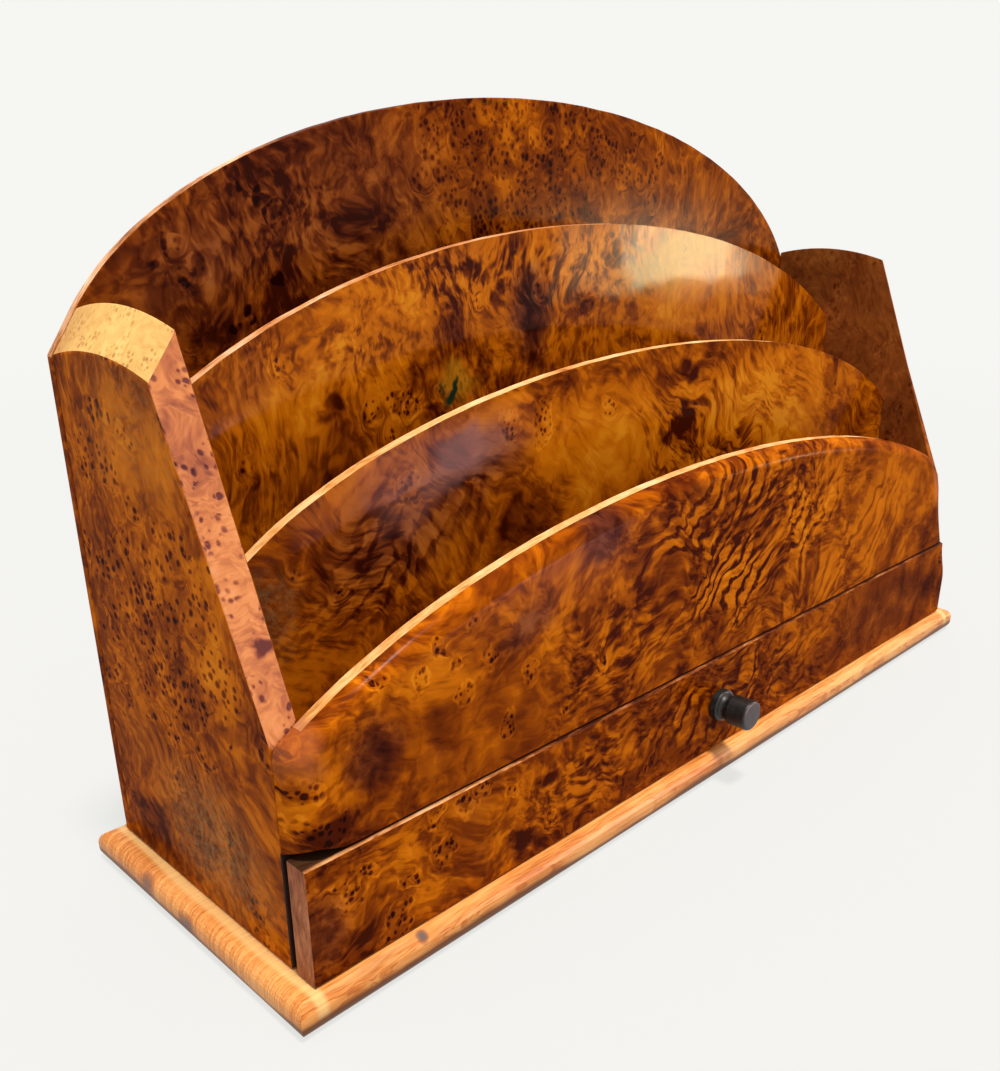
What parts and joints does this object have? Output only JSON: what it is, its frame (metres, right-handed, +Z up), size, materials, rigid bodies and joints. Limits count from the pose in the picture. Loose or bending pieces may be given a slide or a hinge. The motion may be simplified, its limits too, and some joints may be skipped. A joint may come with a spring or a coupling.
{
  "type": "desk letter rack with drawer",
  "caption": "Desk letter rack with arched upright boards in steps between sloped sides, a shallow full-width drawer with a turned knob below, on a rounded base board.",
  "frame": {"origin": "middle of the base board's underside", "axes": "+X along the front to the right, +Y from the front to the back, +Z up"},
  "size_m": [0.3436, 0.1125, 0.208],
  "materials": {
    "burl": "figured burl under clear gloss lacquer",
    "plain_wood": "straight-grained, satin lacquer",
    "drawer_wood": "plain, unlacquered",
    "black_wood": "turned, blackened, satin",
    "steel": "plated"
  },
  "bodies": {
    "rack": {"base": "plain_wood", "left_side": "burl", "right_side": "burl", "back_panel": "burl", "rear_divider": "burl", "middle_divider": "burl", "front_panel": "burl", "slot_floor": "drawer_wood", "base_screw_left_front": "steel", "base_screw_left_rear": "steel", "base_screw_right_front": "steel", "base_screw_right_rear": "steel", "back_pin_left_low": "steel", "back_pin_left_middle": "steel", "back_pin_left_high": "steel", "back_pin_right_low": "steel", "back_pin_right_middle": "steel", "back_pin_right_high": "steel", "back_pin_floor_left": "steel", "back_pin_floor_right": "steel"},
    "drawer": {"drawer_front": "burl", "drawer_left_wall": "drawer_wood", "drawer_right_wall": "drawer_wood", "drawer_back": "drawer_wood", "drawer_bottom": "drawer_wood", "knob": "black_wood", "knob_screw": "steel"}
  },
  "joints": [
    {"name": "drawer_slide", "type": "slide", "parent": "rack", "child": "drawer", "axis": [0, -1, 0], "range_m": [-0.0017, 0.06]}
  ]
}
